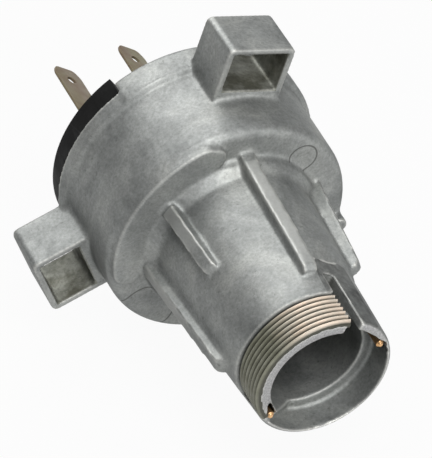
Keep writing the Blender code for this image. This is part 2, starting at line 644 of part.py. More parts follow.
def make_ball(mat):
    bm = bmesh.new()
    centre = polar(BALL_RING_R, BALL_ANGLE, DISC_MIDDLE)
    bmesh.ops.create_icosphere(bm, subdivisions=3, radius=BALL_R * MM, matrix=Matrix.Translation(centre * MM))
    for face in bm.faces:
        face.smooth = True
    return finish_mesh(bm, "detent_ball", mat)


def make_detent_spring(mat):
    inner = BALL_HOLE_INNER_R + FIT_GAP + DETENT_WIRE_R
    outer = BALL_RING_R - BALL_R - FIT_GAP - DETENT_WIRE_R
    points = helix(polar(inner, BALL_ANGLE, DISC_MIDDLE), polar(1.0, BALL_ANGLE), outer - inner - END_PLAY,
                   DETENT_COIL_R, DETENT_TURNS, 10)
    return coil(points, DETENT_WIRE_R, "detent_spring", mat, 5)


def make_return_spring(mat):
    """Torsion coil around the hub: one leg at the housing's anchor, one that the finger meets at start."""
    radius = HUB_R + FIT_GAP + RETURN_WIRE_R
    front = WEB_REAR + FIT_GAP + RETURN_WIRE_R
    rear = DISC_FRONT - FIT_GAP - RETURN_WIRE_R
    start, end = RETURN_ANCHOR_ANGLE, RETURN_LEG_ANGLE - 360.0 * RETURN_TURNS
    steps = 16 * RETURN_TURNS
    turn = [polar(radius, start + (end - start) * i / steps, front + (rear - front) * i / steps)
            for i in range(steps + 1)]
    points = [polar(RETURN_ANCHOR_R, start, front)] + turn + [polar(RETURN_LEG_R, end, rear)]
    return coil(points, RETURN_WIRE_R, "return_spring", mat)


def make_washer(mat):
    """Flat ring between the web and the rotor's hub."""
    inner = SHAFT_R + FIT_GAP
    obj = revolved([(WASHER_FRONT, inner), (WASHER_REAR, inner), (WASHER_REAR, HUB_R), (WASHER_FRONT, HUB_R)],
                   "thrust_washer", 48)
    return clean(obj, mat, 25.0)


def make_pin(index, angle, mat):
    """Plain pin pressed into the front rim, its tip slightly pointed."""
    y0, y1 = PIN_FRONT, PIN_FRONT + PIN_LENGTH
    tip_r, edge = PIN_R / 2, 0.2
    obj = revolved([(y0, 0.0), (y0, tip_r), (y0 + tip_r, PIN_R), (y1 - edge, PIN_R), (y1, PIN_R - edge),
                    (y1, 0.0)], "front_pin_%d" % index, 20)
    for vert in obj.data.vertices:
        vert.co += polar(PIN_RING_R, angle) * MM
    return clean(obj, mat, 25.0)


def ride_on(parent, children):
    for child in children:
        child.parent = parent


def main():
    for obj in list(bpy.data.objects):
        bpy.data.objects.remove(obj)
    zinc = material("zinc_casting", (0.40, 0.40, 0.39), 0.75, 0.42)
    phenolic = material("black_phenolic", (0.022, 0.022, 0.023), 0.0, 0.62)
    blade_brass = material("tarnished_brass", (0.33, 0.26, 0.14), 0.9, 0.38)
    contact_brass = material("contact_brass", (0.70, 0.50, 0.22), 1.0, 0.28)
    copper = material("copper_pin", (0.62, 0.36, 0.16), 1.0, 0.30)
    moulding = material("brown_moulding", (0.10, 0.055, 0.035), 0.0, 0.5)
    steel = material("spring_steel", (0.45, 0.45, 0.46), 1.0, 0.3)
    make_housing(zinc)
    make_plate(phenolic)
    for index, spec in enumerate(BLADES, 1):
        make_blade(index, spec, blade_brass)
        make_rivet(index, spec, contact_brass)
    rotor = make_rotor(moulding)
    riders = [make_contact_plate(contact_brass), make_ball(steel), make_detent_spring(steel)]
    riders += [make_contact_spring(i, a, steel) for i, a in enumerate(SPRING_ANGLES, 1)]
    ride_on(rotor, riders)
    make_return_spring(steel)
    make_washer(contact_brass)
    for index, angle in enumerate(PIN_ANGLES, 1):
        make_pin(index, angle, copper)


main()
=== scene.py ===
# %% [markdown]
# # Dressing an ignition switch
# The solids of the switch have their sizes already. They arrive as a fixed frame, and this lesson gives them
# the look of the real thing: a grey zinc die casting, a black phenolic plate and tarnished brass blades.
# We could trace everything again by hand, but the frame knows every place, so each piece starts from it.

# %% Load the frame
import math
import bpy
import bmesh
import numpy as np
from mathutils import Matrix, Vector


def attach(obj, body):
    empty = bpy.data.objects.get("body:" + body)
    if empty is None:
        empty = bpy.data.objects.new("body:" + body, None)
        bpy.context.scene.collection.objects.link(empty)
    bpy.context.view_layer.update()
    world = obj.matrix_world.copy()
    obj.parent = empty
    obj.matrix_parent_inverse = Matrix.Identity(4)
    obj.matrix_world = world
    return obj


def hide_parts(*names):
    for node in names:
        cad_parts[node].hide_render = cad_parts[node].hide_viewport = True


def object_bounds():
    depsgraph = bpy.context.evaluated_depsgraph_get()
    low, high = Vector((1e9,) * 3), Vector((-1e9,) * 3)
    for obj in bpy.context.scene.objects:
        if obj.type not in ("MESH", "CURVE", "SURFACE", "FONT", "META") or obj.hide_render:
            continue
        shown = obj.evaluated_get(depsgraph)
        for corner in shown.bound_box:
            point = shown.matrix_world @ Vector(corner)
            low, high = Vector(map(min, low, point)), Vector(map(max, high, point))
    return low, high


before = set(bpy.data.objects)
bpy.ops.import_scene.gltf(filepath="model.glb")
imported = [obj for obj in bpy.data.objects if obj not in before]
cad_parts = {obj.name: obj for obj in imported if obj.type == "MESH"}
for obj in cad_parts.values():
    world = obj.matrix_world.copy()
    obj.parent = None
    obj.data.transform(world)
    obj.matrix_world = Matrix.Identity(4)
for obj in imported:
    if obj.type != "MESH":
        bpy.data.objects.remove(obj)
cad_low, cad_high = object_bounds()
MM = 0.001
print("frame box in mm:", [round(v / MM, 1) for v in (*cad_low, *cad_high)])

# %% [markdown]
# ## The camera
# The photograph fixes the camera's distance only weakly. The front rim and the bore's edge fit best from about
# forty centimetres, and hardly worse from fifty-five, but a fit of the whole outline asks for over a metre.
# Sixty centimetres is a choice between them. The lens follows from the distance and from how many pixels one
# millimetre measures at the point looked at.

# %% Camera
PHOTO_H = 458               # height of the photograph in pixels
PIXELS_PER_MM = 5.90
SENSOR = 36.0
CAMERA_DISTANCE = 600.0 * MM
CAMERA_AZIMUTH, CAMERA_ELEVATION = math.radians(-24.38), math.radians(44.76)
LOOK_AT = Vector((-1.8, 38.65, 0.0)) * MM


def add_object(name, data):
    """A new object in the scene that shows this data."""
    obj = bpy.data.objects.new(name, data)
    bpy.context.scene.collection.objects.link(obj)
    return obj


def direction(azimuth, elevation):
    """Unit vector from the object towards a viewer at these angles."""
    flat = math.cos(elevation)
    return Vector((math.sin(azimuth) * flat, -math.cos(azimuth) * flat, math.sin(elevation)))


def stand(obj, towards, distance):
    """Puts a camera or a lamp at a distance from the point looked at, and turns it to face that point."""
    obj.location = LOOK_AT + towards * distance
    obj.rotation_mode = "QUATERNION"
    obj.rotation_quaternion = (-towards).to_track_quat("-Z", "Y")


lens = bpy.data.cameras.new("photo_camera")
lens.sensor_width = SENSOR
lens.lens = SENSOR * PIXELS_PER_MM * CAMERA_DISTANCE / MM / PHOTO_H
lens.dof.use_dof = False
lens.clip_start, lens.clip_end = 0.1, 20.0
camera = add_object("photo_camera", lens)
stand(camera, direction(CAMERA_AZIMUTH, CAMERA_ELEVATION), CAMERA_DISTANCE)
bpy.context.scene.camera = camera
print("lens in mm:", round(lens.lens, 1))

# %% [markdown]
# ## Nodes of a material
# Every finish here is a graph of nodes, and most graphs repeat the same few steps. They could be wired one by
# one each time, but short functions keep each finish readable. So these cells hold the empty material and the
# sums that nearly every material needs.

# %% Material helpers
def new_material(name):
    """An empty node tree with an output and a Principled shader, already joined."""
    mat = bpy.data.materials.new(name)
    mat.use_nodes = True
    tree = mat.node_tree
    tree.nodes.clear()
    out = tree.nodes.new("ShaderNodeOutputMaterial")
    shader = tree.nodes.new("ShaderNodeBsdfPrincipled")
    tree.links.new(shader.outputs["BSDF"], out.inputs["Surface"])
    return mat, tree, shader


def feed(tree, socket, value):
    """Joins a socket to another node's output, or sets it to a plain value."""
    if hasattr(value, "links"):
        tree.links.new(value, socket)
    else:
        socket.default_value = value


def math_node(tree, operation, first, second=0.0):
    node = tree.nodes.new("ShaderNodeMath")
    node.operation = operation
    feed(tree, node.inputs[0], first)
    feed(tree, node.inputs[1], second)
    return node.outputs[0]


def times(tree, first, second):
    return math_node(tree, "MULTIPLY", first, second)


print("materials so far:", len(bpy.data.materials))

# %% [markdown]
# ## The floor
# The photograph has a plain white ground with hardly a shadow. We could paint the world white and drop the
# floor, but then the switch would float. So a pale floor lies just under the drum. Rays that see it directly
# find it nearly white, and light that bounces off it finds it grey, which keeps the underside dark.

# %% Floor
FLOOR_SIZE = 3.0
FLOOR_GAP = 0.2 * MM
FLOOR_GLOW = 0.95           # how much of the floor's look is plain white, so its shadow stays faint
FLOOR_GREY = (0.35, 0.35, 0.35, 1.0)


def seen_directly(tree):
    """1 for rays that the camera, a mirror or glass sends to the ground, 0 for light that bounces off it."""
    path = tree.nodes.new("ShaderNodeLightPath")
    total = path.outputs["Is Camera Ray"]
    for name in ("Is Glossy Ray", "Is Transmission Ray"):
        total = math_node(tree, "MAXIMUM", total, path.outputs[name])
    return total


def floor_material():
    mat, tree, shader = new_material("pale_floor")
    shader.inputs["Base Color"].default_value = FLOOR_GREY
    shader.inputs["Roughness"].default_value = 0.9
    glow = tree.nodes.new("ShaderNodeEmission")
    glow.inputs["Strength"].default_value = 1.0
    blend = tree.nodes.new("ShaderNodeMixShader")
    out = next(n for n in tree.nodes if n.type == "OUTPUT_MATERIAL")
    tree.links.new(times(tree, seen_directly(tree), FLOOR_GLOW), blend.inputs["Fac"])
    tree.links.new(shader.outputs["BSDF"], blend.inputs[1])
    tree.links.new(glow.outputs[0], blend.inputs[2])
    tree.links.new(blend.outputs[0], out.inputs["Surface"])
    return mat


ground = bmesh.new()
bmesh.ops.create_grid(ground, x_segments=1, y_segments=1, size=FLOOR_SIZE)
bmesh.ops.translate(ground, vec=(0.0, 0.0, cad_low.z - FLOOR_GAP), verts=ground.verts)
floor = add_object("floor", bpy.data.meshes.new("floor"))
ground.to_mesh(floor.data)
ground.free()
floor.data.materials.append(floor_material())
print("floor at z in mm:", round((cad_low.z - FLOOR_GAP) / MM, 2))

# %% [markdown]
# ## The light
# The lamps in the photograph are large and soft, because metal mirrors a small lamp as a hard spot. One lamp
# would be simpler, but each kind of face has its own tone. So the largest lamp is above and behind, which gives
# the upper faces their sheen and keeps the left sides dark. A second is overhead, and a weaker one in front
# lights the faces that look at us.

# %% Lamps and world
LAMPS = {
    "key": dict(azimuth=177, elevation=48, distance=1.0, size=1.0, watts=9.0),
    "top_soft": dict(azimuth=-5, elevation=66, distance=0.9, size=0.5, watts=6.5),
    "front_fill": dict(azimuth=15, elevation=20, distance=1.1, size=0.6, watts=6.2),
}
WORLD_LEVEL = 0.09          # a plain grey room; the white ground comes from the floor alone


def make_lamp(name, azimuth, elevation, distance, size, watts):
    data = bpy.data.lights.new(name, "AREA")
    data.shape, data.size, data.energy = "DISK", size, watts
    stand(add_object(name, data), direction(math.radians(azimuth), math.radians(elevation)), distance)


for lamp_name, values in LAMPS.items():
    make_lamp(lamp_name, **values)
world = bpy.data.worlds.new("studio")
bpy.context.scene.world = world
world.use_nodes = True
room = world.node_tree.nodes["Background"]
room.inputs["Color"].default_value = (1.0, 1.0, 1.0, 1.0)
room.inputs["Strength"].default_value = WORLD_LEVEL
bpy.context.scene.view_settings.view_transform = "Standard"
print("lamps:", list(LAMPS))

# %% [markdown]
# ## Helpers for pieces
# A CAD node is a skin of loose triangles, and it must not be changed. So each helper works on a merged copy.
# `cut` and `join` are exact Booleans, `bake` turns an object's modifiers into plain mesh.

# %% Mesh helpers
def polar(radius, angle, depth=0.0):
    """Point in metres from a radius and depth in millimetres and an angle in degrees, seen from the front."""
    a = math.radians(angle)
    return Vector((radius * math.cos(a), depth, radius * math.sin(a))) * MM


def unit(angle):
    """Direction square to the barrel's axis, as a vector of length one."""
    return polar(1.0, angle) / MM


def object_from(bm, name):
    mesh = bpy.data.meshes.new(name)
    bm.to_mesh(mesh)
    bm.free()
    return add_object(name, mesh)


def merged_copy(node, name):
    """A copy of a CAD node whose triangles share their corners."""
    bm = bmesh.new()
    bm.from_mesh(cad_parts[node].data)
    bmesh.ops.remove_doubles(bm, verts=bm.verts, dist=1e-6)
    return object_from(bm, name)


def bake(obj):
    """Keeps what the modifiers make as the object's own mesh."""
    graph = bpy.context.evaluated_depsgraph_get()
    mesh = bpy.data.meshes.new_from_object(obj.evaluated_get(graph))
    obj.modifiers.clear()
    old, obj.data = obj.data, mesh
    bpy.data.meshes.remove(old)
    mesh.name = obj.name


def boolean(obj, tool, operation):
    mod = obj.modifiers.new("boolean", "BOOLEAN")
    mod.operation, mod.solver, mod.object = operation, "EXACT", tool
    bake(obj)
    bpy.data.objects.remove(tool)


def cut(obj, tool):
    boolean(obj, tool, "DIFFERENCE")


def join(obj, tool):
    boolean(obj, tool, "UNION")


def triangles(obj):
    return sum(len(p.vertices) - 2 for p in obj.data.polygons)


def smooth(obj, angle):
    obj.data.shade_smooth()
    obj.data.set_sharp_from_angle(angle=math.radians(angle))


def dress(obj, mat, node):
    """Gives a piece its material and puts it in its CAD node's place."""
    obj.data.materials.clear()
    obj.data.materials.append(mat)
    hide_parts(node)
    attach(obj, "body")
    print(obj.name, "triangles:", triangles(obj))


print("nodes to dress:", len(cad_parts))

# %% [markdown]
# ## Blocks
# Small forms are joined to a piece or cut from it as plain blocks. Each could be modelled corner by corner, but
# all of them sit on or round the barrel's axis. So a block is given by radii, angles and depths in millimetres,
# and either swept about the axis or pulled along a straight line.

# %% Swept blocks
def spun(outline, start, stop, name, steps=24, advance=0.0):
    """Solid from (radius, depth) corners swept about the axis; advance is the depth gained on the way."""
    bm = bmesh.new()
    face = bm.faces.new([bm.verts.new(polar(r, start, y)) for r, y in outline])
    bmesh.ops.spin(bm, geom=[face, *face.edges, *face.verts], cent=(0, 0, 0), axis=(0, -1, 0),
                   angle=math.radians(stop - start), steps=steps, dvec=(0, advance * MM / steps, 0))
    bmesh.ops.remove_doubles(bm, verts=bm.verts, dist=1e-7)
    bmesh.ops.holes_fill(bm, edges=[e for e in bm.edges if e.is_boundary], sides=0)
    bmesh.ops.recalc_face_normals(bm, faces=bm.faces)
    print(name, "open edges:", sum(not e.is_manifold for e in bm.edges))
    return object_from(bm, name)


def arc_block(r0, r1, start, stop, y0, y1, name):
    """A block between two radii, two angles and two depths."""
    return spun([(r0, y0), (r1, y0), (r1, y1), (r0, y1)], start, stop, name)


# %% Straight blocks
def extrude(bm, face, way):
    """Pulls a flat face along a vector into a closed solid."""
    moved = bmesh.ops.extrude_face_region(bm, geom=[face])["geom"]
    bmesh.ops.translate(bm, vec=way, verts=[v for v in moved if isinstance(v, bmesh.types.BMVert)])
    bmesh.ops.recalc_face_normals(bm, faces=bm.faces)


def slot_block(points, y0, y1, name):
    """A cutter along a path of (x, z, half width) points on the front face."""
    bm = bmesh.new()
    left, right = [], []
    for i, (x, z, half) in enumerate(points):
        ahead = Vector(points[min(i + 1, len(points) - 1)][:2])
        behind = Vector(points[max(i - 1, 0)][:2])
        way = (ahead - behind).normalized()
        left.append(Vector((x - way.y * half, y0, z + way.x * half)) * MM)
        right.append(Vector((x + way.y * half, y0, z - way.x * half)) * MM)
    face = bm.faces.new([bm.verts.new(p) for p in left + list(reversed(right))])
    extrude(bm, face, (0, (y1 - y0) * MM, 0))
    return object_from(bm, name)


def disc_block(x, z, radius, y0, y1, name):
    """A short cylinder along the barrel's axis."""
    bm = bmesh.new()
    bmesh.ops.create_cone(bm, cap_ends=True, segments=48, radius1=radius * MM, radius2=radius * MM,
                          depth=(y1 - y0) * MM)
    bmesh.ops.rotate(bm, cent=(0, 0, 0), matrix=Matrix.Rotation(math.pi / 2, 3, "X"), verts=bm.verts)
    bmesh.ops.translate(bm, vec=Vector((x, (y0 + y1) / 2, z)) * MM, verts=bm.verts)
    return object_from(bm, name)


def fin_block(angle, half, outline, name):
    """A fin on the barrel, from (depth, radius) corners and half its thickness."""
    side = unit(angle + 90.0)
    bm = bmesh.new()
    face = bm.faces.new([bm.verts.new(polar(r, angle, y) - side * half * MM) for y, r in outline])
    extrude(bm, face, side * 2 * half * MM)
    return object_from(bm, name)


def flat_block(turn, distance, rise, y0, y1, name, span=20.0):
    """A cutter for a flat that faces one direction and rises a little towards the rear."""
    bm = bmesh.new()
    bmesh.ops.create_cube(bm, size=1.0)
    bmesh.ops.scale(bm, vec=Vector((span, y1 - y0, span)) * MM, verts=bm.verts)
    bmesh.ops.translate(bm, vec=Vector((span / 2, 0.0, 0.0)) * MM, verts=bm.verts)
    lean = math.atan2(rise, y1 - y0)
    bmesh.ops.rotate(bm, cent=(0, 0, 0), matrix=Matrix.Rotation(-lean, 3, "Z"), verts=bm.verts)
    bmesh.ops.translate(bm, vec=Vector((distance + rise / 2, (y0 + y1) / 2, 0.0)) * MM, verts=bm.verts)
    bmesh.ops.rotate(bm, cent=(0, 0, 0), matrix=Matrix.Rotation(-math.radians(turn), 3, "Y"), verts=bm.verts)
    return object_from(bm, name)


# %% [markdown]
# ## Patterns
# Cast metal is never one even colour. A picture of metal could be wrapped round a piece, but it would show
# seams and repeat. So noise in the object's own coordinates is turned into colours by a ramp, and another noise
# lifts the surface a little where it should feel rough.

# %% Patterns
def from_object(tree, kind, socket):
    """A new node that reads the object's own coordinates."""
    coords = tree.nodes.new("ShaderNodeTexCoord")
    node = tree.nodes.new(kind)
    tree.links.new(coords.outputs["Object"], node.inputs[socket])
    return node


def noise(tree, scale, detail=4.0, roughness=0.55, distortion=0.0):
    node = from_object(tree, "ShaderNodeTexNoise", "Vector")
    node.inputs["Scale"].default_value = scale
    node.inputs["Detail"].default_value = detail
    node.inputs["Roughness"].default_value = roughness
    node.inputs["Distortion"].default_value = distortion
    return node.outputs["Fac"]


def ramp(tree, value, stops):
    """Colour ramp from (position, grey or colour) stops."""
    node = tree.nodes.new("ShaderNodeValToRGB")
    while len(node.color_ramp.elements) < len(stops):
        node.color_ramp.elements.new(0.5)
    for element, (position, colour) in zip(node.color_ramp.elements, stops):
        element.position = position
        rgb = colour if isinstance(colour, tuple) else (colour,) * 3
        element.color = (*rgb, 1.0)
    tree.links.new(value, node.inputs["Fac"])
    return node.outputs["Color"]


def mix(tree, factor, first, second, blend="MIX"):
    """Mixes two colours; each is a socket or a plain colour."""
    node = tree.nodes.new("ShaderNodeMix")
    node.data_type, node.blend_type = "RGBA", blend
    feed(tree, node.inputs["Factor"], factor)
    feed(tree, node.inputs["A"], first)
    feed(tree, node.inputs["B"], second)
    return node.outputs["Result"]


def darken(tree, share, colour, pattern):
    """Multiplies a colour by a pattern where share is 1."""
    return mix(tree, share, colour, pattern, "MULTIPLY")


def bump(tree, shader, height, strength, distance):
    node = tree.nodes.new("ShaderNodeBump")
    node.inputs["Strength"].default_value = strength
    node.inputs["Distance"].default_value = distance
    tree.links.new(height, node.inputs["Height"])
    tree.links.new(node.outputs["Normal"], shader.inputs["Normal"])


def paint(tree, shader, colour, rough, metallic):
    tree.links.new(colour, shader.inputs["Base Color"])
    tree.links.new(rough, shader.inputs["Roughness"])
    shader.inputs["Metallic"].default_value = metallic


# %% [markdown]
# ## Places on a piece
# Some marks sit at known places: a ring on the drum's face, painted shade with dirt inside a lug, a dull
# flat. They could be painted on an unwrapped skin, but a cast shape unwraps badly. So the shader measures the
# place itself, as a depth, a distance from an axis or a distance along one direction.

# %% Places
def depth(tree):
    """The depth from the front plane, in metres."""
    return from_object(tree, "ShaderNodeSeparateXYZ", 0).outputs["Y"]


def along(tree, turn):
    """Distance in metres from the barrel's axis, measured in one direction."""
    node = from_object(tree, "ShaderNodeVectorMath", 0)
    node.operation = "DOT_PRODUCT"
    node.inputs[1].default_value = unit(turn)
    return node.outputs["Value"]


def axis_distance(tree, x=0.0, z=0.0):
    """Distance in metres from a line along the barrel's direction through (x, z) in millimetres."""
    flat = from_object(tree, "ShaderNodeVectorMath", 0)
    flat.operation, flat.inputs[1].default_value = "MULTIPLY", (1.0, 0.0, 1.0)
    apart = tree.nodes.new("ShaderNodeVectorMath")
    apart.operation, apart.inputs[1].default_value = "DISTANCE", (x * MM, 0.0, z * MM)
    tree.links.new(flat.outputs[0], apart.inputs[0])
    return apart.outputs["Value"]


def fade(tree, value, start, stop):
    """0 at start and 1 at stop, both in millimetres; the other way round where stop is smaller."""
    node = tree.nodes.new("ShaderNodeMapRange")
    node.inputs["From Min"].default_value = min(start, stop) * MM
    node.inputs["From Max"].default_value = max(start, stop) * MM
    node.inputs["To Min"].default_value = 0.0 if start < stop else 1.0
    node.inputs["To Max"].default_value = 1.0 if start < stop else 0.0
    tree.links.new(value, node.inputs["Value"])
    return node.outputs["Result"]


SOFT_END = 0.02             # millimetres over which a mask ends


def between(tree, value, low, high):
    """1 between two values in millimetres, 0 outside."""
    return times(tree, fade(tree, value, low, low + SOFT_END), fade(tree, value, high + SOFT_END, high))


def ring_line(tree, x, z, radius, width, y0, y1):
    """1 on a thin circle seen from the front, between two depths."""
    off = math_node(tree, "ABSOLUTE", math_node(tree, "SUBTRACT", axis_distance(tree, x, z), radius * MM))
    return times(tree, fade(tree, off, width, width * 0.3), between(tree, depth(tree), y0, y1))


# %% [markdown]
# ## Marks of making and use, and painted shade and sheen
# Corners and the lugs' inner walls are darkened, which is painted shade with some dirt. Handling brightens outer
# edges, and the tops of the upper-left ribs are lighter, which is painted sheen with some rubbing. The flat
# beside the keyway was filed after casting: it is dull, with a bright burr round it. Such marks could be
# modelled, but they are thinner than a hair. So each is a mask from 0 to 1 that the zinc's material uses.

# %% Painted shade, dirt and wear
SHADE_AND_GRIME_REACH = 6.0 * MM
HOLLOW_SHADE_AND_GRIME = [(0.15, (0.26, 0.25, 0.21)), (0.62, (1.0, 1.0, 1.0))]
WEAR_NAME, WORN_SHARE = "worn", 0.65
LUG_TURNS, LUG_ROOM, LUG_REACH = (71.5, 196.4), 5.32, (23.3, 31.12)


def hollow_shade_and_grime(tree):
    """Painted shade with brownish dirt, where the surface is shut in by its neighbours."""
    node = tree.nodes.new("ShaderNodeAmbientOcclusion")
    node.samples = 8
    node.inputs["Distance"].default_value = SHADE_AND_GRIME_REACH
    return ramp(tree, node.outputs["AO"], HOLLOW_SHADE_AND_GRIME)


def worn_edge(tree):
    """1 on outer edges; the casting carries the wear as an attribute."""
    node = tree.nodes.new("ShaderNodeAttribute")
    node.attribute_name = WEAR_NAME
    return times(tree, node.outputs["Fac"], WORN_SHARE)


def lug_shade_and_dirt(tree, turn):
    """1 on the inner walls of the square lug that stands out in this direction, where painted shade with dirt goes.
    """
    across = between(tree, along(tree, turn + 90.0), -LUG_ROOM, LUG_ROOM)
    return times(tree, across, between(tree, along(tree, turn), *LUG_REACH))


# %% Filed flat, painted shade on the hood and painted sheen on the rib tops
BEHIND_FACE = 0.15          # depth at which the machined front face has ended
RELIEF = (54.0, 12.10, 0.52, -1.0, 14.6)    # the flat's direction, distance at the front, rise, and depths
RELIEF_HALF, RELIEF_NEAR, RELIEF_PAST = 4.3, 0.5, 0.2
RELIEF_SKIN, RELIEF_LINE = 0.07, 0.17       # heights over the flat up to which it is dull, and its edge bright
# HOOD_ values place the painted shade on the barrel's right front side
HOOD_TURN, HOOD_OUT, HOOD_END = 12.0, (9.6, 11.4), 9.0
TOP_START, TOP_SLOPE, TOP_TURN = 14.3, 0.045, 130.0    # a cone just under the tops, and the side they are on
TOP_SOFT, TOP_SIDE, TOP_DEPTHS = 0.25, 6.0, (8.0, 35.5)


def above_relief(tree):
    """Height in metres over the filed flat's plane, and 1 where that flat can be."""
    turn, distance, rise, y0, y1 = RELIEF
    slope = rise / (y1 - y0)
    plane = math_node(tree, "ADD", times(tree, depth(tree), slope), (distance - slope * y0) * MM)
    height = math_node(tree, "SUBTRACT", along(tree, turn), plane)
    across = between(tree, along(tree, turn + 90.0), -RELIEF_HALF, RELIEF_HALF)
    near = between(tree, height, -RELIEF_NEAR, RELIEF_NEAR)
    deep = between(tree, depth(tree), BEHIND_FACE, y1 + RELIEF_PAST)
    return height, times(tree, deep, times(tree, across, near))


def hood_side_shade(tree):
    """1 on the right side of the barrel's front end, which painted shade darkens."""
    outwards = fade(tree, along(tree, HOOD_TURN), *HOOD_OUT)
    return times(tree, outwards, between(tree, depth(tree), BEHIND_FACE, HOOD_END))


def rib_top_sheen_and_rub(tree):
    """1 on the tops of the upper and left ribs, which painted sheen with some rubbing lightens."""
    cone = math_node(tree, "ADD", times(tree, depth(tree), TOP_SLOPE), TOP_START * MM)
    high = fade(tree, math_node(tree, "SUBTRACT", axis_distance(tree), cone), 0.0, TOP_SOFT)
    side = fade(tree, along(tree, TOP_TURN), 0.0, TOP_SIDE)
    return times(tree, high, times(tree, side, between(tree, depth(tree), *TOP_DEPTHS)))


# %% [markdown]
# ## The finish of die-cast zinc
# Zinc comes from the die with a satin skin: grey, a little cloudy, with fine pits and a few brighter rubs.
# A plain metal shader would mirror the room and look like chrome. So the colour is clouded by a broad noise
# and broken by finer ones, the roughness is uneven, and a fine bump breaks up the highlights. The front face
# was machined, so it sparkles instead.

# %% Colours of zinc
CLOUDS = [(0.30, (0.200, 0.209, 0.204)), (0.50, (0.290, 0.300, 0.292)), (0.72, (0.385, 0.394, 0.376))]
LUG_SHADE_AND_STAIN = [(0.38, (0.34, 0.33, 0.27)), (0.62, (0.78, 0.77, 0.70))]
MARK_LINE, RIB_SHEEN_AND_RUB = (0.10, 0.10, 0.095, 1.0), (0.47, 0.475, 0.455, 1.0)
FILED_EDGE, WORN_ZINC = (0.66, 0.66, 0.63, 1.0), (0.60, 0.60, 0.565, 1.0)
EJECTOR_MARKS = ((13.67, 11.57, 2.65), (-15.4, -12.7, 5.4))   # (x, z, radius) of circles on the drum's face
MARK_WIDTH, MARK_DEPTHS = 0.22, (37.0, 38.2)
MACHINED_DEPTH = (0.30, 0.12)


def cast_colour(tree):
    """The skin as it comes from the die, and the machined front face."""
    colour = ramp(tree, noise(tree, 95.0, 7.0, 0.62, 0.6), CLOUDS)
    colour = darken(tree, 0.75, colour, ramp(tree, noise(tree, 1900.0, 4.0, 0.75), [(0.30, 0.70), (0.62, 1.12)]))
    colour = darken(tree, 0.50, colour, ramp(tree, noise(tree, 1100.0, 3.0, 0.6), [(0.28, 0.45), (0.36, 1.0)]))
    rubs = ramp(tree, noise(tree, 700.0, 6.0, 0.72, 0.4), [(0.36, 0.80), (0.50, 1.0), (0.66, 1.24)])
    colour = darken(tree, 0.38, colour, rubs)
    sparkle = ramp(tree, noise(tree, 3200.0, 4.0, 0.8), [(0.36, 0.26), (0.52, 0.42), (0.68, 0.60)])
    return mix(tree, fade(tree, depth(tree), *MACHINED_DEPTH), colour, sparkle)


def used_colour(tree, colour):
    """The same with its marks, dirt, wear, painted shade and painted sheen, from the oldest to the newest."""
    for x, z, radius in EJECTOR_MARKS:
        line = ring_line(tree, x, z, radius, MARK_WIDTH, *MARK_DEPTHS)
        colour = mix(tree, times(tree, line, 0.85), colour, MARK_LINE)
    height, place = above_relief(tree)
    blotches = ramp(tree, noise(tree, 420.0, 5.0, 0.7), [(0.35, 0.42), (0.60, 0.74)])
    filed = times(tree, place, fade(tree, height, RELIEF_LINE, RELIEF_SKIN))
    # blotches dull the filed flat; at three quarters strength the same blotches are painted shade on the barrel's
    # right front side
    for share in (filed, times(tree, hood_side_shade(tree), 0.75)):
        colour = mix(tree, share, colour, darken(tree, 1.0, colour, blotches))
    # painted sheen with some rubbing lightens the rib tops on the upper-left side
    colour = mix(tree, times(tree, rib_top_sheen_and_rub(tree), 0.55), colour, RIB_SHEEN_AND_RUB)
    edge = times(tree, place, between(tree, height, RELIEF_SKIN, RELIEF_LINE))
    colour = mix(tree, times(tree, edge, 0.8), colour, FILED_EDGE)
    # painted shade with some dirt darkens the hollows
    colour = darken(tree, 1.0, colour, hollow_shade_and_grime(tree))
    # painted shade with some dirt darkens the inner walls of both lugs
    lug_shade_and_stain = ramp(tree, noise(tree, 260.0, 4.0, 0.6), LUG_SHADE_AND_STAIN)
    for turn in LUG_TURNS:
        colour = mix(tree, lug_shade_and_dirt(tree, turn), colour, darken(tree, 1.0, colour, lug_shade_and_stain))
    return mix(tree, worn_edge(tree), colour, WORN_ZINC)


# %% Zinc
def make_zinc():
    mat, tree, shader = new_material("cast_zinc")
    rough = ramp(tree, noise(tree, 240.0, 5.0, 0.6), [(0.3, 0.46), (0.7, 0.60)])
    paint(tree, shader, used_colour(tree, cast_colour(tree)), rough, 0.70)
    shader.inputs["Specular Tint"].default_value = (0.45, 0.45, 0.45, 1.0)
    shader.inputs["Specular IOR Level"].default_value = 0.40
    bump(tree, shader, noise(tree, 900.0, 6.0, 0.65), 0.30, 0.00016)
    return mat


zinc = make_zinc()
print("material:", zinc.name, "nodes:", len(zinc.node_tree.nodes))

# %% [markdown]
# ## Small forms on the casting
# The pad reaches over the drum's edge and has round ends, the ribs have full tops, and a ramp and two slots
# lie beside the pins. They could be sculpted, but their places were read off the photograph as numbers. So each
# is a block that is joined to a merged copy of the housing or cut from it. The seat of the thread is cut
# deeper, to make room for a thread of its own.

# %% Sizes of the forms
PAST = 1.0                  # how far a cutter reaches past the front
THREAD_FROM, THREAD_TO, THREAD_END = 67.0, 205.0, 6.8
THREAD_SEAT_R, THREAD_OUT, THREAD_CLEAR = 11.35, 16.0, 2.0    # the last in degrees, on the keyway's side
# slots beside the two pins, as (x, z, half width) along each
PIN_SLOTS = (
    ((-9.9, -0.4, 0.14), (-9.65, -2.6, 0.42), (-9.3, -5.3, 0.95)),
    ((7.3, 7.1, 0.45), (9.2, 4.7, 0.60), (10.4, 3.0, 0.62), (11.3, 0.7, 0.45)),
)
SLOT_DEPTH = 5.0
PAD_R, PAD_TURN, PAD_DEPTHS = (16.35, 21.6), (103.0, 184.0), (36.3, 39.5)
BARE_RIM = (23.18, 26.0, 119.6, 178.0, 53.0, 56.2)    # radii, angles and depths beside the skirt's end
